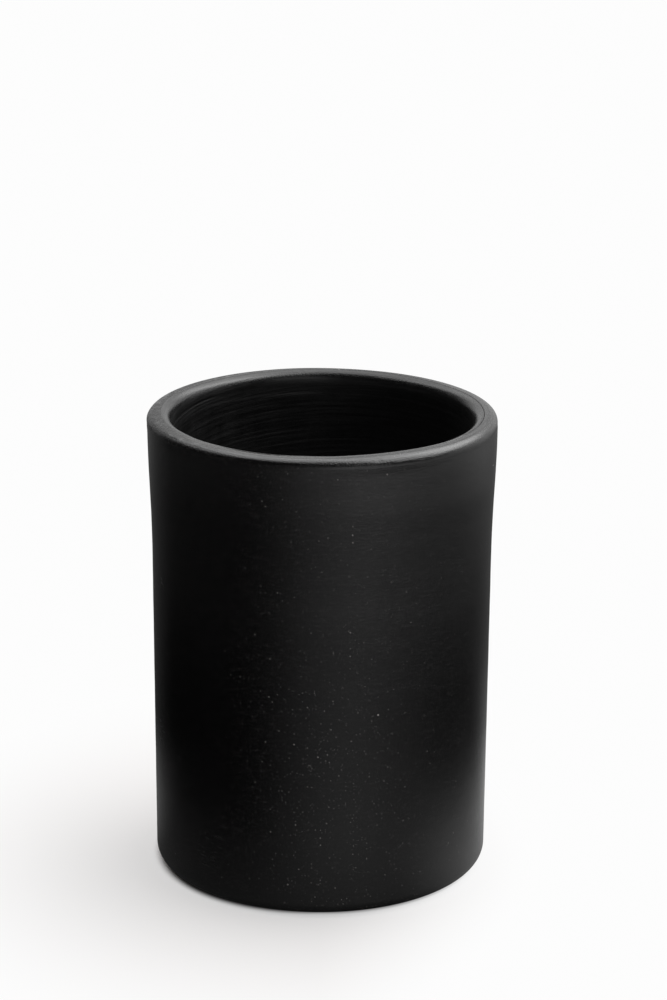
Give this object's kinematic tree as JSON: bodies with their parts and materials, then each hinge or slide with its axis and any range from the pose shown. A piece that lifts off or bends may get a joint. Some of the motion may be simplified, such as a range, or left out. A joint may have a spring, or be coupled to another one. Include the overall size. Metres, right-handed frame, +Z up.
{
  "type": "candle jar",
  "caption": "Empty straight-sided round candle jar in satin black stoneware, with a rounded rim, a brushed coat inside and a bare clay foot ring.",
  "frame": {"origin": "centre of the foot ring, on the surface the jar stands on", "axes": "+Z up the jar's axis to the rim; the picture is taken from -Y"},
  "size_m": [0.09, 0.09, 0.122],
  "materials": {
    "bare_clay": "fired stoneware, unglazed, speckled",
    "outer_black": "satin black coat with fine turning lines and pale flecks",
    "inner_black": "black coat brushed on in rings over throwing marks"
  },
  "bodies": {
    "root": {"clay_body": "bare_clay", "outer_coat": "outer_black", "inner_coat": "inner_black"}
  },
  "joints": []
}
